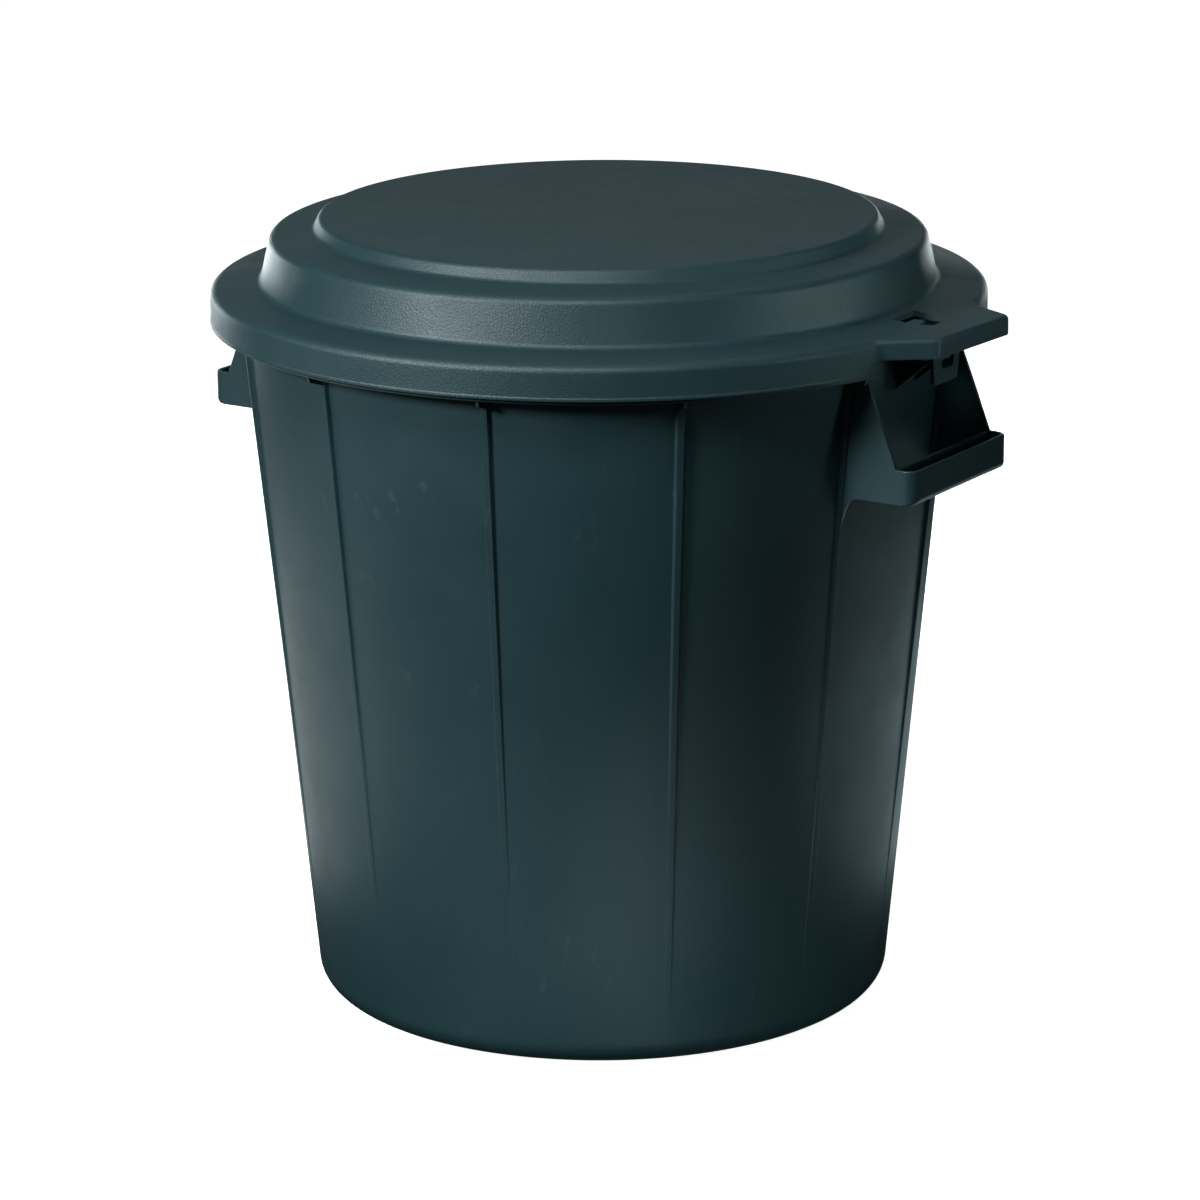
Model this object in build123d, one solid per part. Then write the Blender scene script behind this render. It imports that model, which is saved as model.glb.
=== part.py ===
from build123d import *
import math
import os

# Round plastic bin with a loose stepped lid.
# Millimetres. +Z up. The handles lie on +X and -X, the lid's ear on +X. All shapes are drawn round the bin's own axis
# and are moved by AXIS_X at the end, so that the origin is the middle of the whole object's box, on the floor.
AXIS_X = -3.9

# ---- bin body ----
BASE_R = 176.1          # outer radius of the wall carried down to the floor
WALL_SLOPE = 0.09359    # growth of the outer radius per millimetre of height
WALL_T = 2.8            # wall thickness
BASE_T = 3.2            # base thickness
BASE_CORNER_R = 16.0    # rounding between base and wall
FOOT_IN_R = 128.0       # the base is raised inside this radius
FOOT_LIFT = 2.5
RIM_TOP_Z = 438.8       # the lid rests here
RIM_BOT_Z = 418.4       # lower edge of the rolled rim, just below the lid's skirt
RIM_R = 231.3           # outer radius of the rolled rim
RIM_T = 2.2

RIB_COUNT = 12
RIB_W = 5.0             # rib width round the wall
RIB_OUT_TOP = 3.0       # how far a rib stands out at the rim
RIB_FOOT_Z = 30.0       # the ribs fade out here
GUSSET_W = 2.4

# ---- carrying handles ----
CHEEK_V = 57.4          # outer face of a cheek plate, from the handle's middle plane
CHEEK_T = 2.8
SLANT_U = 239.0         # outer edge of a cheek at the grip's top edge
SLANT_K = 0.43          # how much the edge runs in per millimetre of height
GRIP_TOP_Z = 366.0
GRIP_BOT_Z = 345.2
GRIP_IN_U = 236.6       # inner wall of the grip's channel
GRIP_OUT_U = 251.6      # outer face of the grip
GRIP_T = 2.6
GRIP_CORNER_R = 8.0
ARCH_Z = 322.0          # where a cheek runs out into its rib
CATCH_U = 237.2         # ledge on the wall for the lid's hook
CATCH_V = 17.0
CATCH_Z = 419.5
CATCH_T = 2.6

# ---- lid ----
LID_T = 2.6
LID_R = 235.0
SKIRT_BOT_Z = 421.0
FLANGE_Z = 441.5        # top of the flange at its edge
FOOT_R, FOOT_Z = 204.6, 444.4     # foot of the main step
STEP_R, STEP_Z = 198.4, 472.4     # top of the main step
TERR_R, TERR_Z = 172.4, 475.0     # foot of the upper step
PLAT_R, PLAT_Z = 168.4, 483.4     # top of the upper step
CROWN_Z = 485.0

# ---- lid ear and hook, over the handle on +X ----
EAR_NEAR = (255.5, -37.5)         # outer corners; the outer edge isn't quite square to the handle
EAR_FAR = (259.6, 42.0)
EAR_NEAR_ROOT = (220.5, -65.0)    # where its sides leave the flange
EAR_FAR_ROOT = (227.5, 57.5)
GAP_NEAR, GAP_FAR = -58.1, 54.9   # the skirt is open between these
NOTCH_NEAR, NOTCH_FAR = -69.0, 62.0
EAR_TOP_Z = 441.6
EAR_BOT_Z = 429.6
HOOK_U = 239.0          # inner face of the hook
HOOK_T = 2.6
HOOK_TOP_V = (-20.0, 16.5)
HOOK_BOT_V = (-17.5, 10.5)
HOOK_BOT_Z = 407.8

os.makedirs("parts", exist_ok=True)


def wall_r(z):
    return BASE_R + WALL_SLOPE * z


def ring(points, fillets):
    """Solid of revolution about Z from (r, z) points; fillets maps a point's number to its radius."""
    face = make_face(Polyline(*[(r, 0, z) for r, z in points], close=True))
    for number, radius in fillets:
        r, z = points[number]
        corner = face.vertices().sort_by(lambda v: (v.X - r) ** 2 + (v.Z - z) ** 2)[0]
        face = fillet_xz(face, corner, radius)
    return revolve(face, axis=Axis.Z, revolution_arc=360)


def fillet_xz(face, corner, radius):
    turned = face.rotate(Axis.X, -90)
    target = Vector(corner.X, corner.Z, 0)
    near = turned.vertices().sort_by(lambda v: (v.X - target.X) ** 2 + (v.Y - target.Y) ** 2)[0]
    done = fillet(near, radius)
    done = done.face() if hasattr(done, "face") else done
    return done.rotate(Axis.X, 90)


def plate_uz(points, v_lo, v_hi):
    """Plate with its outline in the X-Z plane, from Y = v_lo to Y = v_hi."""
    face = make_face(Polyline(*[(u, v_lo, z) for u, z in points], close=True))
    return extrude(face, amount=v_hi - v_lo, dir=(0, 1, 0))


# ---------------------------------------------------------------- bin body
skin = WALL_T
top_r = wall_r(RIM_TOP_Z)
outline = [
    (0, FOOT_LIFT),
    (FOOT_IN_R - 4, FOOT_LIFT),
    (FOOT_IN_R, 0),
    (wall_r(0), 0),
    (top_r, RIM_TOP_Z),
    (top_r - skin, RIM_TOP_Z),
    (wall_r(BASE_T) - skin, BASE_T),
    (FOOT_IN_R + 1, BASE_T),
    (FOOT_IN_R - 3, BASE_T + FOOT_LIFT),
    (0, BASE_T + FOOT_LIFT),
]
body = ring(outline, [(3, BASE_CORNER_R), (6, BASE_CORNER_R - skin)])

# Rolled rim: a flange with a skirt. It stops between the cheeks of the handle on +X, to let the lid's hook down.
rim = ring(
    [
        (top_r - 1.5, RIM_TOP_Z - RIM_T),
        (RIM_R - RIM_T, RIM_TOP_Z - RIM_T),
        (RIM_R - RIM_T, RIM_BOT_Z),
        (RIM_R, RIM_BOT_Z),
        (RIM_R, RIM_TOP_Z),
        (top_r - 1.5, RIM_TOP_Z),
    ],
    [(4, 3.2), (1, 1.2)],
)
gap_half = CHEEK_V - CHEEK_T
rim -= Pos(0, 0, RIM_BOT_Z - 5) * Box(
    300, 2 * gap_half, 40, align=(Align.MIN, Align.CENTER, Align.MIN)
)
body += rim

# Vertical ribs, each a thin wedge that fades out towards the base, with a small gusset up into the rim.
rib = plate_uz(
    [
        (wall_r(RIB_FOOT_Z) - 1.5, RIB_FOOT_Z),
        (wall_r(RIB_FOOT_Z) + 0.05, RIB_FOOT_Z),
        (wall_r(RIM_TOP_Z - 1) + RIB_OUT_TOP, RIM_TOP_Z - 1),
        (wall_r(RIM_TOP_Z - 1) - 1.5, RIM_TOP_Z - 1),
    ],
    -RIB_W / 2,
    RIB_W / 2,
)
gusset = plate_uz(
    [
        (wall_r(404) - 1, 404),
        (wall_r(404) + 1.5, 404),
        (226.5, 411.5),
        (228.5, 413.0),
        (RIM_R - RIM_T + 0.5, RIM_BOT_Z + 0.5),
        (RIM_R - RIM_T + 0.5, RIM_TOP_Z - 1.3),
        (wall_r(RIM_TOP_Z - 1.3) - 1, RIM_TOP_Z - 1.3),
    ],
    -GUSSET_W / 2,
    GUSSET_W / 2,
)
for k in range(RIB_COUNT):
    angle = 15 + 30 * k
    body += rib.rotate(Axis.Z, angle)
    body += gusset.rotate(Axis.Z, angle)


def slant_u(z):
    return SLANT_U - SLANT_K * (z - GRIP_TOP_Z)


def wall_u(z, v):
    return math.sqrt(wall_r(z) ** 2 - v * v)


# Cheek plate: from the rim down a slanted edge to the grip, back under it, and down an arch into the rib.
top_z = RIM_TOP_Z - 0.8
cheek_face = make_face(
    Wire(
        [
            Line((203, 0, top_z), (max(slant_u(top_z), 210.5), 0, top_z)),
            Line((max(slant_u(top_z), 210.5), 0, top_z), (slant_u(GRIP_TOP_Z), 0, GRIP_TOP_Z)),
            Line((slant_u(GRIP_TOP_Z), 0, GRIP_TOP_Z), (GRIP_OUT_U - GRIP_CORNER_R, 0, GRIP_TOP_Z)),
            Line((GRIP_OUT_U - GRIP_CORNER_R, 0, GRIP_TOP_Z), (GRIP_OUT_U - GRIP_CORNER_R, 0, GRIP_BOT_Z)),
            Line((GRIP_OUT_U - GRIP_CORNER_R, 0, GRIP_BOT_Z), (214.0, 0, GRIP_BOT_Z)),
            Spline(
                (214.0, 0, GRIP_BOT_Z), (205.0, 0, 339.0), (200.6, 0, ARCH_Z),
                tangents=[(-1, 0, 0), (-0.12, 0, -1)],
            ),
            Line((200.6, 0, ARCH_Z), (192.0, 0, ARCH_Z)),
            Line((192.0, 0, ARCH_Z), (203, 0, top_z)),
        ]
    )
)


def cheek(sign):
    plate = extrude(cheek_face, amount=CHEEK_T, dir=(0, 1, 0))
    return Pos(0, CHEEK_V - CHEEK_T if sign > 0 else -CHEEK_V, 0) * plate


# Grip: an upward-open channel with rounded ends.
block = Pos(GRIP_IN_U, 0, GRIP_BOT_Z) * Box(
    GRIP_OUT_U - GRIP_IN_U, 2 * CHEEK_V, GRIP_TOP_Z - GRIP_BOT_Z, align=(Align.MIN, Align.CENTER, Align.MIN)
)
outer_corners = block.edges().filter_by(Axis.Z).sort_by(Axis.X)[-2:]
block = fillet(outer_corners, GRIP_CORNER_R)
low = [
    e for e in block.edges()
    if abs(e.center().Z - GRIP_BOT_Z) < 1e-3 and e.center().X > GRIP_IN_U + 0.5
    and not (abs(e.center().Y) > CHEEK_V - 0.01 and e.length < 7.5)
]
block = fillet(block.edges().filter_by(Axis.Y).sort_by(lambda e: -e.center().X + e.center().Z)[0], 4.0) \
    if not low else block
trough = Pos(GRIP_IN_U + GRIP_T, 0, GRIP_BOT_Z + GRIP_T) * Box(
    GRIP_OUT_U - GRIP_IN_U - 2 * GRIP_T, 2 * (CHEEK_V - CHEEK_T), 30,
    align=(Align.MIN, Align.CENTER, Align.MIN),
)
trough = fillet(trough.edges().filter_by(Axis.Z).sort_by(Axis.X)[-2:], GRIP_CORNER_R - GRIP_T)
grip = block - trough
lower_front = [
    e for e in grip.edges()
    if abs(e.center().Z - GRIP_BOT_Z) < 0.01 and e.center().X > GRIP_OUT_U - GRIP_CORNER_R + 0.1
]
grip = fillet(lower_front, 4.0)

handle = cheek(1) + cheek(-1) + grip

# Ledge for the lid's hook, held by two small webs.
ledge = Pos(205, 0, CATCH_Z) * Box(
    CATCH_U - 205, 2 * CATCH_V, CATCH_T, align=(Align.MIN, Align.CENTER, Align.MIN)
)
ledge = fillet(ledge.edges().filter_by(Axis.Z).sort_by(Axis.X)[-2:], 4.0)
web = plate_uz([(208, CATCH_Z + 0.5), (CATCH_U - 4, CATCH_Z + 0.5), (CATCH_U - 4, CATCH_Z - 1), (wall_r(402), 402), (208, 402)], -1.1, 1.1)
catch = ledge + Pos(0, -11, 0) * web + Pos(0, 11, 0) * web

inside = Cone(
    wall_r(300) - skin, wall_r(RIM_TOP_Z + 1) - skin, RIM_TOP_Z + 1 - 300,
    align=(Align.CENTER, Align.CENTER, Align.MIN),
)
inside = Pos(0, 0, 300) * inside
body += (handle + catch) - inside
body += (handle - inside).rotate(Axis.Z, 180)

# ---------------------------------------------------------------- lid
t = LID_T


def slope_drop(a, b):
    return t * math.hypot(b[0] - a[0], b[1] - a[1]) / abs(b[0] - a[0])


lid_outline = [
    (0, CROWN_Z),
    (PLAT_R, PLAT_Z),
    (TERR_R, TERR_Z),
    (STEP_R, STEP_Z),
    (FOOT_R, FOOT_Z),
    (LID_R, FLANGE_Z),
    (LID_R, SKIRT_BOT_Z + 2.2),
    (LID_R + 0.5, SKIRT_BOT_Z + 1.6),
    (LID_R + 0.5, SKIRT_BOT_Z),
    (LID_R - t, SKIRT_BOT_Z),
    (LID_R - t, RIM_TOP_Z),
    (222.5, RIM_TOP_Z),
    (FOOT_R - 2.2, FOOT_Z - t),
    (STEP_R - 2.6, STEP_Z - t + 0.2),
    (TERR_R - 2.5, TERR_Z - t),
    (PLAT_R - 2.3, PLAT_Z - t + 0.1),
    (0, CROWN_Z - t),
]
lid = ring(
    lid_outline,
    [(1, 5.0), (2, 4.0), (3, 6.5), (4, 4.5), (5, 4.6), (10, 1.8), (12, 2.5), (13, 4.0), (15, 3.0)],
)



def run_in(root, corner):
    """The ear's side line carried on inwards to u = 190."""
    return (190, root[1] + (corner[1] - root[1]) / (corner[0] - root[0]) * (190 - root[0]))


ear_plan = [
    run_in(EAR_NEAR_ROOT, EAR_NEAR),
    EAR_NEAR,
    EAR_FAR,
    run_in(EAR_FAR_ROOT, EAR_FAR),
]
ear_face = make_face(Polyline(*[(u, v, EAR_BOT_Z) for u, v in ear_plan], close=True))
ear_block = extrude(ear_face, amount=EAR_TOP_Z - EAR_BOT_Z, dir=(0, 0, 1))
ear_block = fillet(
    [e for e in ear_block.edges().filter_by(Axis.Z) if e.center().X > 250], 7.5
)
top_edges = [
    e for e in ear_block.edges()
    if abs(e.center().Z - EAR_TOP_Z) < 0.01 and e.center().X > 200
]
ear_block = fillet(top_edges, 2.2)
ear_in = offset(ear_face, amount=-t, kind=Kind.INTERSECTION)
ear_in = ear_in.face() if hasattr(ear_in, "face") else ear_in
hollow = extrude(ear_in, amount=EAR_TOP_Z - t - EAR_BOT_Z + 5, dir=(0, 0, 1))
hollow = Pos(0, 0, -5) * hollow
hollow = fillet([e for e in hollow.edges().filter_by(Axis.Z) if e.center().X > 245], 5.0)

under = Pos(0, 0, 400) * Cylinder(LID_R - t, RIM_TOP_Z - 400, align=(Align.CENTER, Align.CENTER, Align.MIN))
over = Pos(0, 0, 400) * Cylinder(FOOT_R + 4, 100, align=(Align.CENTER, Align.CENTER, Align.MIN))
ear_shell = ear_block - over

skirt_gap = Pos(200, GAP_NEAR, SKIRT_BOT_Z - 2) * Box(
    60, GAP_FAR - GAP_NEAR, RIM_TOP_Z - SKIRT_BOT_Z + 2, align=(Align.MIN, Align.MIN, Align.MIN)
)
skirt_notch = Pos(200, NOTCH_NEAR, SKIRT_BOT_Z - 2) * Box(
    60, NOTCH_FAR - NOTCH_NEAR, EAR_BOT_Z - SKIRT_BOT_Z + 2, align=(Align.MIN, Align.MIN, Align.MIN)
)

window = make_face(
    Polyline(
        (211, -14, 0), (220.5, -14.5, 0), (220.5, -4, 0), (226.5, -2, 0), (228.5, -12, 0),
        (235, -7, 0), (235, 3, 0), (229, 13, 0), (211, 13, 0), close=True,
    )
)
window = Pos(0, 0, 430) * extrude(window, amount=30, dir=(0, 0, 1))

hook_face = make_face(
    Polyline(
        (HOOK_U, HOOK_TOP_V[0], EAR_TOP_Z - 1), (HOOK_U, HOOK_BOT_V[0], HOOK_BOT_Z),
        (HOOK_U, HOOK_BOT_V[1], HOOK_BOT_Z), (HOOK_U, HOOK_TOP_V[1], EAR_TOP_Z - 1), close=True,
    )
)
hook = extrude(hook_face, amount=HOOK_T, dir=(1, 0, 0))
hook_low = [e for e in hook.edges().filter_by(Axis.X) if e.center().Z < HOOK_BOT_Z + 1]
hook = fillet(hook_low, 3.0)
recess_face = make_face(
    Polyline(
        (HOOK_U, -9.0, 436), (HOOK_U, -8.0, 416), (HOOK_U, 5.0, 416), (HOOK_U, 8.5, 436), close=True,
    )
)
hook -= Pos(-1, 0, 0) * extrude(recess_face, amount=HOOK_T + 2, dir=(1, 0, 0))
nose = plate_uz(
    [(HOOK_U + 0.5, 412.6), (HOOK_U - 1.2, 411.0), (HOOK_U - 1.2, 410.2), (HOOK_U + 0.5, 408.2)],
    -14.5, 8.5,
)
hook += nose

lid -= skirt_gap + skirt_notch
lid += ear_shell
lid -= hollow - over
lid -= under
lid -= window
lid += hook

# ---------------------------------------------------------------- write
nodes = {"bin_body": body, "lid": lid}
for name, shape in nodes.items():
    solids = shape.solids()
    if len(solids) == 1:
        shape = solids[0]
    shape = Pos(AXIS_X, 0, 0) * shape
    shape.label = name
    export_step(shape, f"parts/{name}.step")
    box = shape.bounding_box()
    print(name, len(solids), "solid(s)", round(shape.volume / 1000, 1), "cm3", box.min, box.max)
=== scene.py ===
import math

import bmesh
import bpy
import numpy as np
from mathutils import Matrix, Vector


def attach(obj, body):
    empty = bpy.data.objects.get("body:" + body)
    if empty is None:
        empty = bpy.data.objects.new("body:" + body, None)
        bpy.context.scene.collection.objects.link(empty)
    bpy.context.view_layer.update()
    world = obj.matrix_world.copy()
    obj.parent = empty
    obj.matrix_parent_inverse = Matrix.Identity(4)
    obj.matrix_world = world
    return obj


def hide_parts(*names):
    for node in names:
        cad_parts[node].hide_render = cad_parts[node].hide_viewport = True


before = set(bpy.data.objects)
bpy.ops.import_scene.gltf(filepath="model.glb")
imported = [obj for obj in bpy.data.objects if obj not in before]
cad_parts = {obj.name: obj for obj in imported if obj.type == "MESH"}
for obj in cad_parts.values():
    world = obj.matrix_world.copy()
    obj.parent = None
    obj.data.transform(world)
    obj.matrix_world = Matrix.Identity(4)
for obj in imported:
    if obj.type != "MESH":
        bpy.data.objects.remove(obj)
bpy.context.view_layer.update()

MM = 0.001

# ------------------------------------------------------------------ sizes, in millimetres
BASE_R, SLOPE = 176.1, 0.09359
WALL_T = 2.8
RIM_TOP, RIM_BOT, RIM_R, RIM_T = 438.8, 418.4, 231.3, 2.2
RIB_OUT, RIB_FOOT = 3.0, 30.0
GAP_V = 54.6

CHEEK_V, CHEEK_T = 57.4, 2.6
GRIP_TOP, GRIP_BOT = 366.0, 345.2
GRIP_IN, GRIP_OUT, GRIP_T = 236.6, 251.6, 2.6
GRIP_CORNER = 8.0
SLANT_U, SLANT_K = 239.0, 0.43

LID_T = 2.6
LID_R = 235.0
SKIRT_BOT = 421.0
EAR_NEAR, EAR_FAR = (255.5, -37.5), (259.6, 42.0)
EAR_NEAR_ROOT, EAR_FAR_ROOT = (220.5, -65.0), (227.5, 57.5)
NOTCH_NEAR, NOTCH_FAR = 69.0, 62.0
EAR_BOT = 429.6
AXIS_X = -3.9  # the bin's own axis, from the middle of the whole object's box


def wall(z):
    return BASE_R + SLOPE * z


def ramp(x, a, b):
    t = np.clip((x - a) / (b - a), 0.0, 1.0)
    return t * t * (3 - 2 * t)


# ------------------------------------------------------------------ mesh helpers
def rounded(points, radii, steps=8):
    """(r, z) polyline with its inner corners rounded; radii maps a point's number to its radius."""
    out = []
    for i, p in enumerate(points):
        p = np.array(p, float)
        if i not in radii or i in (0, len(points) - 1):
            out.append(p)
            continue
        a, b = np.array(points[i - 1], float) - p, np.array(points[i + 1], float) - p
        la, lb = np.linalg.norm(a), np.linalg.norm(b)
        a, b = a / la, b / lb
        half = math.acos(max(-1.0, min(1.0, float(a @ b)))) / 2
        d = radii[i] / math.tan(half)
        centre = p + (a + b) / np.linalg.norm(a + b) * radii[i] / math.sin(half)
        s, e = p + a * d - centre, p + b * d - centre
        turn = math.acos(max(-1.0, min(1.0, float(s @ e) / radii[i] ** 2)))
        for k in range(steps + 1):
            t = k / steps
            v = (math.sin((1 - t) * turn) * s + math.sin(t * turn) * e) / math.sin(turn)
            out.append(centre + v)
    return np.array(out)


def mesh_object(name, verts, faces, sharp=38.0):
    """Closed mesh from millimetre vertices, smooth with sharp edges by angle."""
    mesh = bpy.data.meshes.new(name)
    mesh.from_pydata([tuple(v) for v in np.asarray(verts) * MM], [], faces)
    bm = bmesh.new()
    bm.from_mesh(mesh)
    bmesh.ops.remove_doubles(bm, verts=bm.verts, dist=1e-7)
    bmesh.ops.recalc_face_normals(bm, faces=bm.faces)
    bm.to_mesh(mesh)
    bm.free()
    mesh.shade_smooth()
    mesh.set_sharp_from_angle(angle=math.radians(sharp))
    obj = bpy.data.objects.new(name, mesh)
    bpy.context.scene.collection.objects.link(obj)
    return obj


def rings_object(name, rings, start, end, sharp=38.0):
    """Closed skin through a stack of closed rings, each an (n, 3) array, with a pole at each end."""
    n = len(rings[0])
    verts = [start] + [p for ring in rings for p in ring] + [end]
    faces = []
    last = 1 + (len(rings) - 1) * n
    for i in range(n):
        j = (i + 1) % n
        faces.append((0, 1 + i, 1 + j))
        for k in range(len(rings) - 1):
            a = 1 + k * n
            faces.append((a + i, a + n + i, a + n + j, a + j))
        faces.append((last + i, len(verts) - 1, last + j))
    return mesh_object(name, verts, faces, sharp)


def bevelled(obj, width, segments=3, angle=30.0):
    """Rounds every edge sharper than angle, in millimetres, for good."""
    bm = bmesh.new()
    bm.from_mesh(obj.data)
    edges = [e for e in bm.edges if e.is_manifold and e.calc_face_angle(0) > math.radians(angle)]
    bmesh.ops.bevel(
        bm, geom=edges, offset=width * MM, offset_type="OFFSET", segments=segments, profile=0.5,
        affect="EDGES", clamp_overlap=True,
    )
    bmesh.ops.recalc_face_normals(bm, faces=bm.faces)
    bm.to_mesh(obj.data)
    bm.free()
    obj.data.shade_smooth()
    obj.data.set_sharp_from_angle(angle=math.radians(50))
    return obj


def prism(name, outline, axis_lo, axis_hi, to_world):
    """Closed prism: a flat outline swept between two offsets; to_world maps (a, b, offset) to millimetres."""
    n = len(outline)
    verts = [to_world(a, b, axis_lo) for a, b in outline] + [to_world(a, b, axis_hi) for a, b in outline]
    faces = [tuple(range(n))[::-1], tuple(range(n, 2 * n))]
    for i in range(n):
        j = (i + 1) % n
        faces.append((i, j, n + j, n + i))
    return mesh_object(name, verts, faces)


def turned(obj, name):
    """Copy of obj, half a turn round Z."""
    other = bpy.data.objects.new(name, obj.data.copy())
    other.data.transform(Matrix.Rotation(math.pi, 4, "Z"))
    bpy.context.scene.collection.objects.link(other)
    return other


def joined(name, objs):
    bpy.ops.object.select_all(action="DESELECT")
    for o in objs:
        o.select_set(True)
    bpy.context.view_layer.objects.active = objs[0]
    bpy.ops.object.join()
    objs[0].name = name
    objs[0].data.name = name
    return objs[0]


def weighted(obj):
    m = obj.modifiers.new("even_normals", "WEIGHTED_NORMAL")
    m.mode = "FACE_AREA"
    m.keep_sharp = True
    m.weight = 50
    return m


# ------------------------------------------------------------------ bin body: wall, ribs and rim
RIB_ANGLES = [15 + 30 * k for k in range(12)]
offsets = [0.0, 0.9, 1.5, 1.8, 2.05, 2.3, 2.55, 2.8, 3.1, 3.5, 4.4]
near_rib = sorted({s * sign / 216.0 for s in offsets for sign in (1, -1)})
columns = []
for k in RIB_ANGLES:
    columns += [math.radians(k) + a for a in near_rib]
gap_top = math.asin(GAP_V / wall(RIM_TOP))
edge_cols = []
for base in (0.0, math.pi):
    for sign in (1, -1):
        for eps in (-0.0003, 0.0003):
            edge_cols.append(base + sign * (gap_top + eps))
columns = [c % (2 * math.pi) for c in columns + edge_cols]
for d in np.arange(0, 360, 1.25):
    a = math.radians(d)
    if min(abs((a - c + math.pi) % (2 * math.pi) - math.pi) for c in columns) > math.radians(0.55):
        columns.append(a)
theta = np.array(sorted(columns))


def around(values):
    """Signed angle to the nearest handle axis (0 or 180 degrees), per column."""
    return (values + math.pi / 2) % math.pi - math.pi / 2


handle_angle = around(theta)
in_gap = ((np.abs(handle_angle) < gap_top) & (np.cos(theta) > 0)).astype(float)
by_v = 1.0 - ramp(np.abs(handle_angle), math.radians(18), math.radians(27))
home = theta - handle_angle
rib_dist = np.abs((theta - math.radians(15) + math.radians(15)) % math.radians(30) - math.radians(15)) * 216.0
rib_shape = 1.0 - ramp(rib_dist, 1.75, 3.05)


def ring_at(r, z, straight=False):
    """One ring; r and z are numbers or one value per column. straight keeps columns near a handle parallel to its axis."""
    r = np.broadcast_to(np.asarray(r, float), theta.shape)
    z = np.broadcast_to(np.asarray(z, float), theta.shape)
    angle = theta
    if straight:
        v = np.clip(wall(RIM_TOP) * np.sin(handle_angle) / np.maximum(r, 1e-6), -1, 1)
        angle = home + by_v * np.arcsin(v) + (1 - by_v) * handle_angle
    return np.stack([r * np.cos(angle), r * np.sin(angle), z], axis=1)


def rib_height(z):
    return RIB_OUT * min(max((z - RIB_FOOT) / (RIM_TOP - RIB_FOOT), 0.0), 1.0)


outer = rounded(
    [(60, 2.5), (124, 2.5), (128, 0), (wall(0), 0), (wall(404), 404)],
    {1: 3.0, 2: 3.0, 3: 16.0}, 10,
)
rings = [ring_at(20, 2.5), ring_at(60, 2.5), ring_at(95, 2.5)]
flat_added = False
for r, z in outer[1:-1]:
    if r > 140 and not flat_added:
        rings.append(ring_at(136, 0))
        rings.append(ring_at(143, 0))
        flat_added = True
    rings.append(ring_at(r, z))
start_z = outer[-2][1]
for z in [*np.linspace(start_z + 3, 400, 38), 408, 415, 421, 426, 430, 433, 435]:
    rings.append(ring_at(wall(z) + rib_height(z) * rib_shape, z))

# the rim: (radius, height) outside a handle's gap, and the small bead that takes its place inside one
under_z = RIM_TOP - RIM_T
rim_path = rounded(
    [(wall(under_z), under_z), (RIM_R - RIM_T, under_z), (RIM_R - RIM_T, RIM_BOT + 0.3), (RIM_R - RIM_T + 0.3, RIM_BOT),
     (RIM_R - 0.5, RIM_BOT), (RIM_R, RIM_BOT + 0.5), (RIM_R, RIM_TOP), (wall(RIM_TOP) - WALL_T, RIM_TOP), (wall(425) - WALL_T, 425)],
    {1: 1.4, 6: 3.2, 7: 0.9}, 6,
)[1:-1]
w = wall(RIM_TOP)
bead_path = rounded(
    [(w, under_z + 0.7), (w + 0.7, under_z + 0.7), (w + 0.75, under_z + 0.55), (w + 0.85, under_z + 0.45),
     (w + 1.3, under_z + 0.45), (w + 1.5, under_z + 0.6), (w + 1.5, RIM_TOP), (w - WALL_T, RIM_TOP), (wall(425) - WALL_T, 425)],
    {1: 0.05, 6: 0.8, 7: 0.9}, 6,
)[1:-1]
rings.append(ring_at(wall(under_z) + rib_height(under_z) * rib_shape, under_z, True))
for (r, z), (br, bz) in zip(rim_path, bead_path):
    rings.append(ring_at(r + (br - r) * in_gap, z + (bz - z) * in_gap, r > w + 0.5))
inner = rounded(
    [(wall(430) - WALL_T, 430), (wall(3.2) - WALL_T, 3.2), (129, 3.2), (125, 5.7), (60, 5.7)],
    {1: 13.2, 2: 3.0, 3: 3.0}, 10,
)
for z in np.linspace(428, 60, 26):
    rings.append(ring_at(wall(z) - WALL_T, z))
for r, z in inner[1:-1]:
    rings.append(ring_at(r, z))
rings += [ring_at(90, 5.7), ring_at(50, 5.7), ring_at(20, 5.7)]
shell = rings_object("bin_shell", rings, (0, 0, 2.5), (0, 0, 5.7), 40)
parts = [shell]

# small webs that tie each rib into the rim
web_outline = [
    (wall(405) - 1.2, 405), (wall(405) + 1.2, 405), (wall(411) + 2.4, 411), (226.9, 414), (228.6, 418), (229.5, 423.0),
    (229.6, 437.4), (wall(437.4) - 1.2, 437.4),
]
for k in RIB_ANGLES:
    a = math.radians(k)
    web = prism(
        f"web_{k}", web_outline, -0.9, 0.9,
        lambda u, z, v, a=a: (u * math.cos(a) - v * math.sin(a), u * math.sin(a) + v * math.cos(a), z),
    )
    parts.append(bevelled(web, 0.35, 2))


# ------------------------------------------------------------------ carrying handle
def slant(z):
    return SLANT_U - SLANT_K * (z - GRIP_TOP)


def arch():
    """The edge under a cheek, from below the grip back to the rib."""
    p0, p1, p2, p3 = np.array([216.0, GRIP_BOT]), np.array([207.5, GRIP_BOT]), np.array([203.4, 341.0]), np.array([200.6, 321.5])
    return [tuple((1 - t) ** 3 * p0 + 3 * (1 - t) ** 2 * t * p1 + 3 * (1 - t) * t * t * p2 + t ** 3 * p3) for t in np.linspace(0, 1, 15)]


top_z = 437.9
cheek_outline = [(209.8, top_z), (max(slant(top_z), 210.4), top_z)]
cheek_outline += [(slant(GRIP_TOP), GRIP_TOP), (GRIP_OUT - GRIP_CORNER, GRIP_TOP), (GRIP_OUT - GRIP_CORNER, GRIP_BOT)]
cheek_outline += arch()
cheek_outline += [(197.0, 321.5)]


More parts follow.
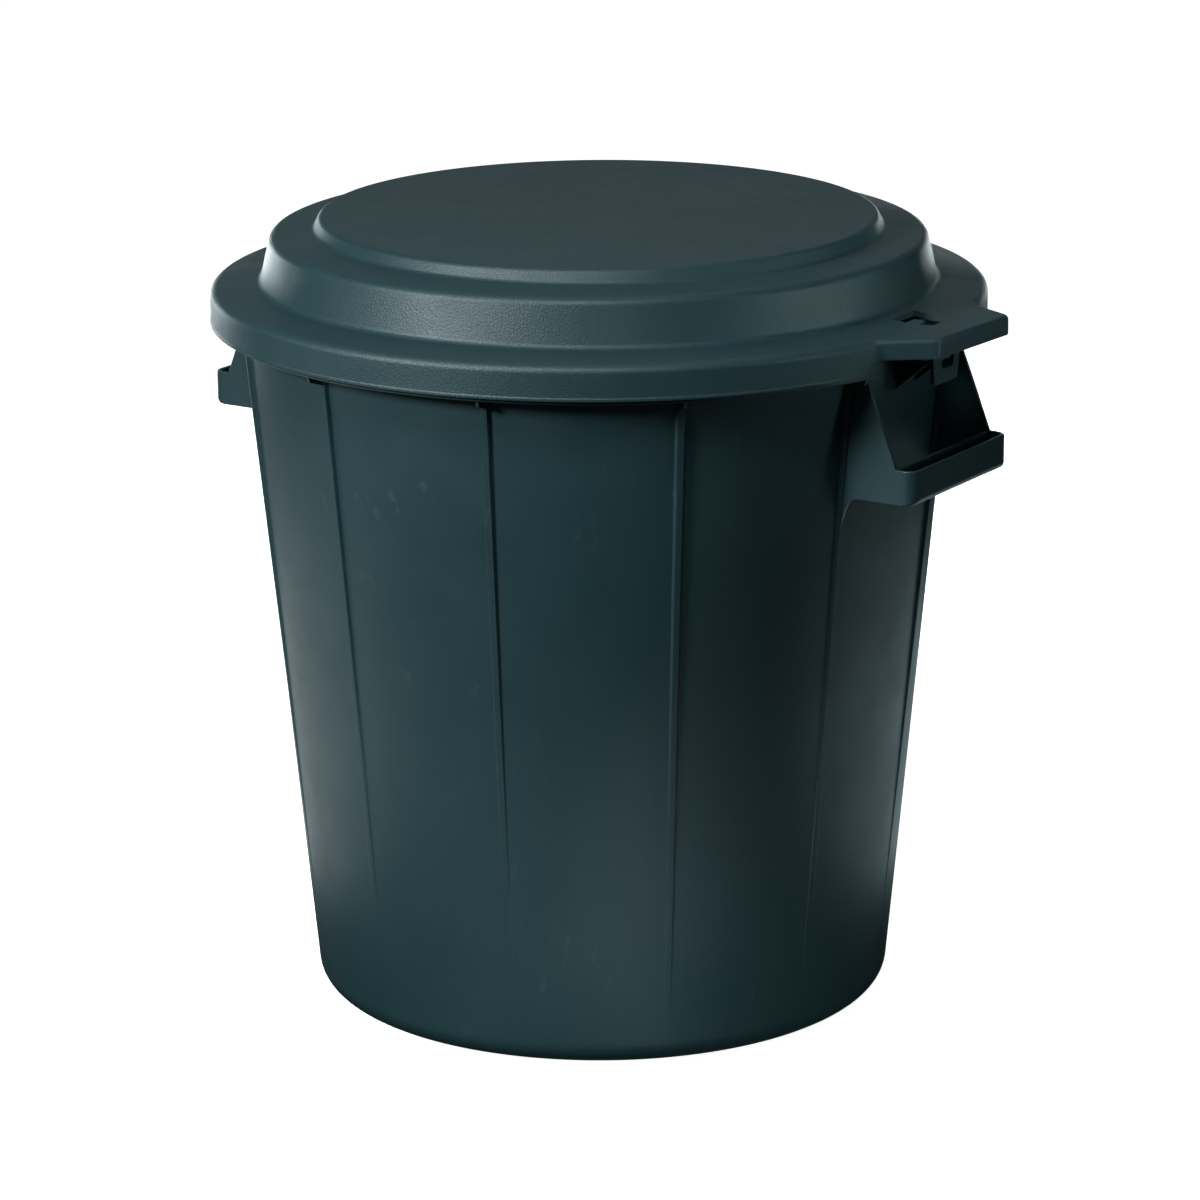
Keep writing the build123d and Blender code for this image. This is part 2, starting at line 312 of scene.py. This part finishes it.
def cheek(name, sign):
    """Plate whose outer face leans in a little between the wall and a faint upright crease."""
    obj = prism(name, cheek_outline, CHEEK_V - CHEEK_T, CHEEK_V, lambda u, z, v: (u, v, z))
    bm = bmesh.new()
    bm.from_mesh(obj.data)
    geom = list(bm.verts) + list(bm.edges) + list(bm.faces)
    bmesh.ops.bisect_plane(bm, geom=geom, plane_co=(225 * MM, 0, 0), plane_no=(1, 0, 0), dist=1e-7)
    for v in bm.verts:
        u = v.co.x / MM
        v.co.y -= max(0.0, 225.0 - u) * 0.085 * MM
        if sign < 0:
            v.co.y = -v.co.y
    bmesh.ops.recalc_face_normals(bm, faces=bm.faces)
    bm.to_mesh(obj.data)
    bm.free()
    return bevelled(obj, 0.7, 3, 25)


def tray(name):
    """The grip: a channel open upward, with rounded ends and a round lower edge."""
    u0, u1, vm = GRIP_IN, GRIP_OUT, CHEEK_V - 0.1
    pts, nrm, low = [], [], []
    rc, ri = GRIP_CORNER, 1.2

    def add(u, v, nu, nv, rb):
        pts.append((u, v)); nrm.append((nu, nv)); low.append(rb)

    for v in np.linspace(-(vm - rc), vm - rc, 26):
        add(u1, v, 1, 0, 4.4)
    for t in np.linspace(0, math.pi / 2, 13)[1:-1]:
        s = 1 - t / (math.pi / 2)
        add(u1 - rc + rc * math.cos(t), vm - rc + rc * math.sin(t), math.cos(t), math.sin(t), 0.8 + 3.6 * s * s * (3 - 2 * s))
    for u in np.linspace(u1 - rc, u0 + ri, 4):
        add(u, vm, 0, 1, 0.8)
    for t in np.linspace(math.pi / 2, math.pi, 5)[1:-1]:
        add(u0 + ri + ri * math.cos(t), vm - ri + ri * math.sin(t), math.cos(t), math.sin(t), 0.8)
    for v in np.linspace(vm - ri, -(vm - ri), 26):
        add(u0, v, -1, 0, 0.8)
    for t in np.linspace(math.pi, 1.5 * math.pi, 5)[1:-1]:
        add(u0 + ri + ri * math.cos(t), -(vm - ri) + ri * math.sin(t), math.cos(t), math.sin(t), 0.8)
    for u in np.linspace(u0 + ri, u1 - rc, 4):
        add(u, -vm, 0, -1, 0.8)
    for t in np.linspace(-math.pi / 2, 0, 13)[1:-1]:
        s = 1 + t / (math.pi / 2)
        add(u1 - rc + rc * math.cos(t), -(vm - rc) + rc * math.sin(t), math.cos(t), math.sin(t), 0.8 + 3.6 * s * s * (3 - 2 * s))
    p, n, rb = np.array(pts), np.array(nrm), np.array(low)

    def at(off, z):
        off = np.broadcast_to(np.asarray(off, float), rb.shape)[:, None]
        z = np.broadcast_to(np.asarray(z, float), rb.shape)
        q = p - n * off
        return np.column_stack([q, z])

    zb, zt = GRIP_BOT + 0.05, GRIP_TOP
    rings = [at(rb + 0.02, zb)]
    for t in np.linspace(0, math.pi / 2, 9)[1:]:
        rings.append(at(rb * (1 - math.sin(t)), zb + rb * (1 - math.cos(t))))
    rings.append(at(0, zt - 8))
    for t in np.linspace(0, math.pi / 2, 5):
        rings.append(at(0.9 * (1 - math.cos(t)), zt - 0.9 + 0.9 * math.sin(t)))
    for t in np.linspace(0, math.pi / 2, 5):
        rings.append(at(GRIP_T - 0.9 * (1 - math.sin(t)), zt - 0.9 + 0.9 * math.cos(t)))
    rings.append(at(GRIP_T, zb + 8))
    floor = zb + GRIP_T
    for t in np.linspace(0, math.pi / 2, 6):
        rings.append(at(GRIP_T + 1.6 * (1 - math.cos(t)), floor + 1.6 - 1.6 * math.sin(t)))

    nring = len(rings)
    m = len(p)
    verts = [q for ring in rings for q in ring]
    faces = []
    for k in range(nring - 1):
        for i in range(m):
            j = (i + 1) % m
            faces.append((k * m + i, (k + 1) * m + i, (k + 1) * m + j, k * m + j))
    faces.append(tuple(range(m)))
    faces.append(tuple(range((nring - 1) * m, nring * m))[::-1])
    return mesh_object(name, verts, faces, 45)


handle_left = turned(joined("handle", [cheek("cheek_far", 1), cheek("cheek_near", -1), tray("grip")]), "handle_left")
handle = [bpy.data.objects["handle"]]
ledge = prism(
    "ledge", [(wall(420) - 2.0, -17), (233.2, -17), (236, -16), (237.2, -13), (237.2, 13), (236, 16), (233.2, 17), (wall(420) - 2.0, 17)],
    419.5, 422.1, lambda u, v, z: (u, v, z),
)
handle.append(bevelled(ledge, 0.5, 2))
for v0 in (-11, 11):
    stay = prism(
        "stay", [(wall(420.5) - 1.8, 420.5), (233.2, 420.5), (233.2, 418.5), (wall(402), 402), (wall(402) - 1.8, 402)],
        v0 - 1.1, v0 + 1.1, lambda u, z, v: (u, v, z),
    )
    handle.append(bevelled(stay, 0.35, 2))
handle = joined("handle_right", handle)
parts += [handle, handle_left]
bin_body = joined("bin_body_moulding", parts)

# ------------------------------------------------------------------ lid: outline of flange and ear
RF, RC, STEP = 9.0, 7.5, 8.6


def arc_points(centre, radius, a0, a1, n, hollow=False):
    sign = -1 if hollow else 1
    return [
        ((centre[0] + radius * math.cos(a), centre[1] + radius * math.sin(a)), (sign * math.cos(a), sign * math.sin(a)))
        for a in np.linspace(a0, a1, n)
    ]


def line_points(p, q, normal, n):
    return [(tuple(np.array(p) + (np.array(q) - np.array(p)) * t), tuple(normal)) for t in np.linspace(0, 1, n)]


def half_outline(root, corner, other, notch_v):
    """From the middle of the ear's outer edge to a quarter of the way round, for y > 0."""
    root, corner, other = np.array(root), np.array(corner), np.array(other)
    side = (corner - root) / np.linalg.norm(corner - root)
    n = np.array([-side[1], side[0]])
    b = root + RF * n
    bb, cc = 2 * b @ side, b @ b - (LID_R + RF) ** 2
    hollow = b + (-bb + math.sqrt(bb * bb - 4 * cc)) / 2 * side
    on_side = hollow - RF * n
    e = (other - corner) / np.linalg.norm(other - corner)
    m = np.array([-e[1], e[0]])
    half = math.acos(float(-side @ e)) / 2
    d = RC / math.tan(half)
    centre = corner + (e - side) / np.linalg.norm(e - side) * RC / math.sin(half)
    a_circle = math.atan2(hollow[1], hollow[0])
    a_notch = math.asin(notch_v / LID_R)
    out = line_points((corner + other) / 2, corner + e * d, m, 12)
    out += arc_points(centre, RC, math.atan2(m[1], m[0]), math.atan2(n[1], n[0]), 11)[1:]
    out += line_points(corner - side * d, on_side, n, 10)[1:]
    h0 = math.atan2(-n[1], -n[0])
    h1 = math.atan2(-hollow[1], -hollow[0])
    out += arc_points(hollow, RF, h0, h1, 10, True)[1:]
    angles = [a_notch - STEP / LID_R * (1 - math.cos(t)) for t in np.linspace(0, math.pi / 2, 9)]
    angles += [a_notch + 0.0006]
    angles += list(np.linspace(a_notch + 0.016, math.pi / 2, 68))
    angles += list(np.linspace(a_circle, a_notch - STEP / LID_R, 3)[1:-1]) if a_notch - STEP / LID_R > a_circle + 0.01 else []
    for a in sorted(angles):
        if a > a_circle + 0.0012:
            out.append(((LID_R * math.cos(a), LID_R * math.sin(a)), (math.cos(a), math.sin(a))))
    pts = np.array([p for p, _ in out])
    run = np.concatenate([[0], np.cumsum(np.linalg.norm(np.diff(pts, axis=0), axis=1))])
    k_notch = int(np.argmin(np.abs(np.arctan2(pts[:, 1], pts[:, 0]) - a_notch) + 10 * (np.hypot(pts[:, 0], pts[:, 1]) > LID_R + 0.5)))
    k_side = int(np.argmin(np.linalg.norm(pts - on_side, axis=1)))
    k_circle = int(np.argmin(np.abs(run - run[k_side] - RF * abs(h1 - h0))))
    ear = 1.0 - ramp(run, run[k_side], run[k_circle])
    return pts, np.array([q for _, q in out]), run - run[k_notch], ear


flip = np.array([1.0, -1.0])
far = half_outline(EAR_FAR_ROOT, EAR_FAR, EAR_NEAR, NOTCH_FAR)
near = half_outline(flip * EAR_NEAR_ROOT, flip * EAR_NEAR, flip * EAR_FAR, NOTCH_NEAR)
back = [((LID_R * math.cos(a), LID_R * math.sin(a)), (math.cos(a), math.sin(a))) for a in np.linspace(math.pi / 2, 1.5 * math.pi, 140)[1:-1]]
plan = np.concatenate([far[0], [p for p, _ in back], (near[0] * flip)[::-1][:-1]])
norm = np.concatenate([far[1], [q for _, q in back], (near[1] * flip)[::-1][:-1]])
past_notch = np.concatenate([far[2], np.full(len(back), 200.0), near[2][::-1][:-1]])
on_ear = np.concatenate([far[3], np.zeros(len(back)), near[3][::-1][:-1]])
lid_angle = np.arctan2(plan[:, 1], plan[:, 0])

edge_r = 4.6 + (2.6 - 4.6) * on_ear
step = np.clip(-past_notch / STEP, 0.0, 1.0)
skirt_z = SKIRT_BOT + (EAR_BOT - SKIRT_BOT) * np.sqrt(1 - (1 - step) ** 2)
bead = 0.43 * ramp(past_notch, 1.0, 9.0)


def top_height(r):
    r = np.asarray(r, float)
    inside = 441.5 + (LID_R - r) * (444.4 - 441.5) / (LID_R - 204.6)
    outside = 441.5 + (LID_R - r) * 0.012
    k = 3.0
    mix = 1 / (1 + np.exp(-(r - LID_R) / k))
    return inside * (1 - mix) + outside * mix


def lid_ring(off, z):
    off = np.broadcast_to(np.asarray(off, float), lid_angle.shape)
    q = plan - norm * off[:, None]
    z = np.broadcast_to(np.asarray(z, float), lid_angle.shape)
    return np.column_stack([q, z])


def lid_circle(r, z):
    return np.column_stack([r * np.cos(lid_angle), r * np.sin(lid_angle), np.full(len(plan), z)])


crown = [(r, 485.0 - 1.6 * (r / 168.4) ** 2) for r in (10, 30, 55, 80, 105, 130, 150)]
profile = rounded(
    [(150, 485.0 - 1.6 * (150 / 168.4) ** 2), (168.4, 483.4), (172.4, 475.0), (198.4, 472.4), (204.6, 444.4), (214, 443.503)],
    {1: 4.2, 2: 3.6, 3: 5.5, 4: 4.2}, 10,
)
lid_rings = [lid_circle(r, z) for r, z in crown]
extra = []
for i in range(len(profile) - 1):
    a, b2 = profile[i], profile[i + 1]
    gap = np.linalg.norm(b2 - a)
    extra.append(b2)
    if gap > 6:
        extra.pop()
        for t in np.linspace(0, 1, int(gap // 4) + 1)[1:]:
            extra.append(a + (b2 - a) * t)
lid_rings += [lid_circle(r, z) for r, z in extra]

# flange and ears: from the foot of the main step out to where the edge starts to round over
inner_r = 214.0
edge_plan = plan - norm * edge_r[:, None]
for t in np.linspace(0, 1, 8)[1:]:
    base = np.column_stack([inner_r * np.cos(lid_angle), inner_r * np.sin(lid_angle)])
    q = base + (edge_plan - base) * t
    lid_rings.append(np.column_stack([q, top_height(np.hypot(q[:, 0], q[:, 1]))]))
for a in np.linspace(0, math.pi / 2, 9)[1:]:
    off = edge_r * (1 - math.sin(a))
    q = plan - norm * off[:, None]
    lid_rings.append(np.column_stack([q, top_height(np.hypot(q[:, 0], q[:, 1])) - edge_r * (1 - math.cos(a))]))
z_edge = lid_rings[-1][:, 2]
for t in (0.25, 0.5, 0.75):
    lid_rings.append(lid_ring(0, z_edge + (skirt_z + 2.5 - z_edge) * t))
lid_rings.append(lid_ring(0, skirt_z + 2.4))
lid_rings.append(lid_ring(-bead * 0.25, skirt_z + 2.2))
lid_rings.append(lid_ring(-bead * 0.8, skirt_z + 1.85))
lid_rings.append(lid_ring(-bead, skirt_z + 1.5))
lid_rings.append(lid_ring(-bead, skirt_z + 0.6))
lid_rings.append(lid_ring(-bead + 0.18, skirt_z + 0.18))
lid_rings.append(lid_ring(-bead + 0.6, skirt_z))
lid_rings.append(lid_ring(LID_T - 0.5, skirt_z))
lid_rings.append(lid_ring(LID_T - 0.12, skirt_z + 0.15))
lid_rings.append(lid_ring(LID_T, skirt_z + 0.5))
under = RIM_TOP + 0.02
lid_rings.append(lid_ring(LID_T, under - 4))
for a in np.linspace(0, math.pi / 2, 5):
    lid_rings.append(lid_ring(LID_T + 1.5 * (1 - math.cos(a)), under - 1.5 + 1.5 * math.sin(a)))
seat = plan - norm * (LID_T + 1.5)
for t in (0.33, 0.66, 1.0):
    base = np.column_stack([222.5 * np.cos(lid_angle), 222.5 * np.sin(lid_angle)])
    lid_rings.append(np.column_stack([seat + (base - seat) * t, np.full(len(plan), under)]))
belly = rounded(
    [(222.5, under), (202.4, 441.8), (195.9, 470.0), (169.9, 472.5), (166.1, 480.9), (150, 481.2)],
    {1: 2.5, 2: 4.0, 3: 3.0, 4: 3.0}, 8,
)[1:]
lid_rings += [lid_circle(r, z) for r, z in belly]
lid_rings += [lid_circle(r, 482.4 - 1.2 * (r / 150.0) ** 2) for r in (120, 90, 60, 30, 10)]
cover = rings_object("cover", lid_rings, (0, 0, 485.0), (0, 0, 482.4), 40)

# window in the ear, above the hook
opening = [(211, -14), (220.5, -14.5), (220.5, -4), (226.5, -2), (228.5, -12), (235, -7), (235, 3), (229, 13), (211, 13)]
cutter = prism("cutter", opening, 430, 460, lambda u, v, z: (u, v, z))
m = cover.modifiers.new("window", "BOOLEAN")
m.operation = "DIFFERENCE"
m.solver = "EXACT"
m.object = cutter
bpy.context.view_layer.objects.active = cover
bpy.ops.object.modifier_apply(modifier=m.name)
bpy.data.objects.remove(cutter)
cover.data.set_sharp_from_angle(angle=math.radians(40))

# snap hook: a U-shaped tongue with a small bead across its lower end
HZ = 407.8


def hook_arc(cx, cz, r, a0, a1, n=6):
    return [(cx + r * math.cos(a), cz + r * math.sin(a)) for a in np.linspace(a0, a1, n)]


hook_outline = [(16.5, 440.4)]
hook_outline += hook_arc(10.5 - 3.0 + 0.25, HZ + 3.0, 3.0, 0, -math.pi / 2)
hook_outline += hook_arc(-17.5 + 3.0, HZ + 3.0, 3.0, -math.pi / 2, -math.pi)
hook_outline += [(-20.0, 440.4), (-9.3, 440.4)]
hook_outline += hook_arc(-6.2, 417.8, 1.8, -math.pi, -math.pi / 2, 5)
hook_outline += hook_arc(3.2, 417.8, 1.8, -math.pi / 2, 0, 5)
hook_outline += [(8.8, 440.4)]
hook = bevelled(prism("hook", hook_outline, 239.0, 241.6, lambda v, z, u: (u, v, z)), 0.5, 2)
nose_outline = [(239.6, 412.8), (238.3, 411.9), (237.85, 410.9), (237.85, 410.2), (238.3, 409.2), (239.6, 408.3)]
nose = bevelled(prism("nose", nose_outline, -14.5, 8.4, lambda u, z, v: (u, v, z)), 0.3, 2)
lid = joined("lid_moulding", [cover, hook, nose])


# ------------------------------------------------------------------ finish
def plastic(name, grain, grain_scale, rough_low, rough_high, scuffs):
    """Dark satin polypropylene: faint cloudy tone, spark-eroded grain, uneven gloss and a few light scuffs."""
    mat = bpy.data.materials.new(name)
    mat.use_nodes = True
    tree = mat.node_tree
    nodes, links = tree.nodes, tree.links
    nodes.clear()
    out = nodes.new("ShaderNodeOutputMaterial")
    bsdf = nodes.new("ShaderNodeBsdfPrincipled")
    links.new(bsdf.outputs[0], out.inputs[0])
    bsdf.inputs["IOR"].default_value = 1.49
    bsdf.inputs["Specular IOR Level"].default_value = 0.42
    coord = nodes.new("ShaderNodeTexCoord")

    def noise(scale, detail, rough, stretch=None):
        n = nodes.new("ShaderNodeTexNoise")
        n.inputs["Scale"].default_value = scale
        n.inputs["Detail"].default_value = detail
        n.inputs["Roughness"].default_value = rough
        if stretch:
            m = nodes.new("ShaderNodeMapping")
            m.inputs["Scale"].default_value = stretch
            links.new(coord.outputs["Object"], m.inputs[0])
            links.new(m.outputs[0], n.inputs["Vector"])
        else:
            links.new(coord.outputs["Object"], n.inputs["Vector"])
        return n

    def spread(source, lo, hi, a=0.3, b=0.7):
        m = nodes.new("ShaderNodeMapRange")
        m.inputs["From Min"].default_value = a
        m.inputs["From Max"].default_value = b
        m.inputs["To Min"].default_value = lo
        m.inputs["To Max"].default_value = hi
        links.new(source, m.inputs["Value"])
        return m.outputs[0]

    def maths(op, a, b):
        m = nodes.new("ShaderNodeMath")
        m.operation = op
        for i, x in enumerate((a, b)):
            if isinstance(x, (int, float)):
                m.inputs[i].default_value = x
            else:
                links.new(x, m.inputs[i])
        return m.outputs[0]

    clouds = noise(9, 4, 0.55)
    fine = noise(grain_scale, 3, 0.6)
    ramp_node = nodes.new("ShaderNodeValToRGB")
    ramp_node.color_ramp.elements[0].position = 0.25
    ramp_node.color_ramp.elements[0].color = (0.0080, 0.0250, 0.0290, 1)
    ramp_node.color_ramp.elements[1].position = 0.8
    ramp_node.color_ramp.elements[1].color = (0.0110, 0.0300, 0.0345, 1)
    links.new(maths("ADD", maths("MULTIPLY", clouds.outputs[0], 0.7), maths("MULTIPLY", fine.outputs[0], 0.3)), ramp_node.inputs[0])

    lines = noise(38, 5, 0.65, (1.0, 9.0, 1.0))
    patch = noise(6, 2, 0.5)
    scuff = maths("MULTIPLY", spread(lines.outputs[0], 0.0, 1.0, 0.60, 0.72), spread(patch.outputs[0], 0.0, 1.0, 0.5, 0.68))
    scuff = maths("MULTIPLY", scuff, scuffs)
    lighter = nodes.new("ShaderNodeMix")
    lighter.data_type = "RGBA"
    lighter.inputs["B"].default_value = (0.040, 0.060, 0.066, 1)
    links.new(ramp_node.outputs[0], lighter.inputs["A"])
    links.new(scuff, lighter.inputs["Factor"])
    links.new(lighter.outputs["Result"], bsdf.inputs["Base Color"])

    gloss = spread(noise(22, 4, 0.6).outputs[0], rough_low, rough_high)
    gloss = maths("ADD", gloss, maths("MULTIPLY", scuff, 0.12))
    gloss = maths("ADD", gloss, spread(fine.outputs[0], -0.03, 0.03))
    links.new(gloss, bsdf.inputs["Roughness"])

    bump = nodes.new("ShaderNodeBump")
    bump.inputs["Strength"].default_value = 1.0
    bump.inputs["Distance"].default_value = 0.001
    swell = noise(60, 2, 0.5)
    height = maths("ADD", maths("MULTIPLY", fine.outputs[0], grain), maths("MULTIPLY", swell.outputs[0], 0.05))
    links.new(height, bump.inputs["Height"])
    links.new(bump.outputs[0], bsdf.inputs["Normal"])
    return mat


lid_finish = plastic("lid_grained_plastic", 0.26, 900, 0.43, 0.53, 0.8)
body_finish = plastic("body_smooth_plastic", 0.045, 1100, 0.38, 0.47, 0.6)
for obj, mat, body, node, slot in (
    (bin_body, body_finish, "bin", "bin_body", "body_plastic"),
    (lid, lid_finish, "lid", "lid", "lid_plastic"),
):
    obj.data.transform(Matrix.Translation((AXIS_X * MM, 0, 0)))
    obj.data.materials.clear()
    obj.data.materials.append(mat)
    weighted(obj)
    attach(obj, body)
    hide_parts(node)
    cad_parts[node].data.materials.clear()
    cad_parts[node].data.materials.append(mat)

# ------------------------------------------------------------------ floor, light and camera
bpy.ops.mesh.primitive_plane_add(size=40, location=(0, 0, -0.0002))
floor = bpy.context.object
floor.name = "floor"
floor_mat = bpy.data.materials.new("pale_floor")
floor_mat.use_nodes = True
fb = floor_mat.node_tree.nodes["Principled BSDF"]
fb.inputs["Base Color"].default_value = (0.85, 0.85, 0.85, 1)
fb.inputs["Roughness"].default_value = 0.9
fb.inputs["Specular IOR Level"].default_value = 0.0
fb.inputs["Emission Color"].default_value = (1, 1, 1, 1)
fb.inputs["Emission Strength"].default_value = 0.96
floor.data.materials.append(floor_mat)
floor.visible_diffuse = False
floor.visible_glossy = False

scene = bpy.context.scene
scene.view_settings.view_transform = "Standard"
scene.view_settings.look = "None"
scene.view_settings.exposure = 0.0
scene.view_settings.gamma = 1.0

world = bpy.data.worlds.new("studio")
scene.world = world
world.use_nodes = True
wt = world.node_tree
wt.nodes.clear()
w_out = wt.nodes.new("ShaderNodeOutputWorld")
w_bg = wt.nodes.new("ShaderNodeBackground")
w_co = wt.nodes.new("ShaderNodeTexCoord")
w_sep = wt.nodes.new("ShaderNodeSeparateXYZ")
w_map = wt.nodes.new("ShaderNodeMapRange")
w_map.inputs["From Min"].default_value = 0.0
w_map.inputs["From Max"].default_value = 0.9
w_map.inputs["To Min"].default_value = 0.012
w_map.inputs["To Max"].default_value = 0.030
wt.links.new(w_co.outputs["Generated"], w_sep.inputs[0])
wt.links.new(w_sep.outputs["Z"], w_map.inputs["Value"])
wt.links.new(w_map.outputs[0], w_bg.inputs["Strength"])
w_bg.inputs["Color"].default_value = (0.90, 1.0, 1.02, 1)
wt.links.new(w_bg.outputs[0], w_out.inputs[0])


def look(location, target, roll=0.0):
    """World matrix of something at location that looks at target, with +X to its right."""
    f = (Vector(target) - Vector(location)).normalized()
    right = f.cross(Vector((0, 0, 1))).normalized()
    up = right.cross(f)
    c, s = math.cos(roll), math.sin(roll)
    r2 = right * c + up * s
    u2 = up * c - right * s
    m = Matrix((r2, u2, -f)).transposed().to_4x4()
    m.translation = Vector(location)
    return m


view_az = math.radians(32.7)
cam_data = bpy.data.cameras.new("camera")
cam = bpy.data.objects.new("camera", cam_data)
scene.collection.objects.link(cam)
scene.camera = cam
cam_data.sensor_width = 36.0
cam_data.lens = 150.0
cam_data.clip_end = 100.0
reach = 2.9671
off_axis = AXIS_X * MM - 0.0004
cam.matrix_world = look(
    (off_axis + math.sin(view_az) * reach, -math.cos(view_az) * reach, 1.0747), (off_axis, -0.0003, 0.2397), math.radians(-0.34)
)


def lamp(name, side_deg, height, distance, size, power, target=(0, 0, 0.3), size_y=None):
    """Soft rectangular light. side_deg is measured from the camera's own direction, positive to its right."""
    a = view_az + math.radians(side_deg)
    data = bpy.data.lights.new(name, "AREA")
    data.shape = "RECTANGLE"
    data.size = size
    data.size_y = size_y or size
    data.energy = power
    data.color = (0.90, 1.0, 1.02)
    obj = bpy.data.objects.new(name, data)
    obj.matrix_world = look((math.sin(a) * distance, -math.cos(a) * distance, height), target)
    obj.visible_camera = False
    scene.collection.objects.link(obj)
    return obj


lamp("key", -51, 0.99, 1.5, 0.32, 33, (0, 0, 0.34), 0.32)
lamp("upper", -18, 1.9, 1.3, 0.55, 24, (0, 0, 0.30))
right = lamp("right", 74, 0.86, 2.5, 0.45, 0.14, (0, 0, 0.48), 0.07)
right.data.spread = math.radians(9)
low_front = lamp("low_front", 10, 0.03, 1.3, 1.3, 0.5, (0, 0, 0.02), 0.05)
low_front.data.spread = math.radians(24)
lamp("backdrop", 180, 1.25, 2.6, 3.0, 2.6, (0, 0, 0.45), 1.3)
lamp("back_left", -152, 0.28, 1.6, 0.8, 9, (0, 0, 0.26), 0.3)
lamp("back_right", 166, 0.28, 1.6, 0.8, 9, (0, 0, 0.26), 0.3)
lamp("top", 170, 2.4, 1.0, 1.2, 4)


def floor_patch(name, side_deg, distance, size, size_y, power):
    """Light that lies on the floor and faces up, as a white floor does."""
    a = view_az + math.radians(side_deg)
    x, y = math.sin(a) * distance, -math.cos(a) * distance
    obj = lamp(name, 0, 1.0, 1.0, size, power, size_y=size_y)
    obj.matrix_world = Matrix.Translation((x, y, 0.001)) @ Matrix.Rotation(a, 4, "Z") @ Matrix.Rotation(math.pi, 4, "X")
    return obj


floor_patch("bounce_front", -5, 0.40, 1.0, 0.30, 0.25)
floor_patch("bounce_left", -112, 0.66, 0.9, 0.7, 1.9)
bounce_right = floor_patch("bounce_right", 114, 0.60, 0.9, 0.6, 1.25)
for obj in (right, bounce_right):
    obj.data.color = (0.72, 1.0, 1.06)
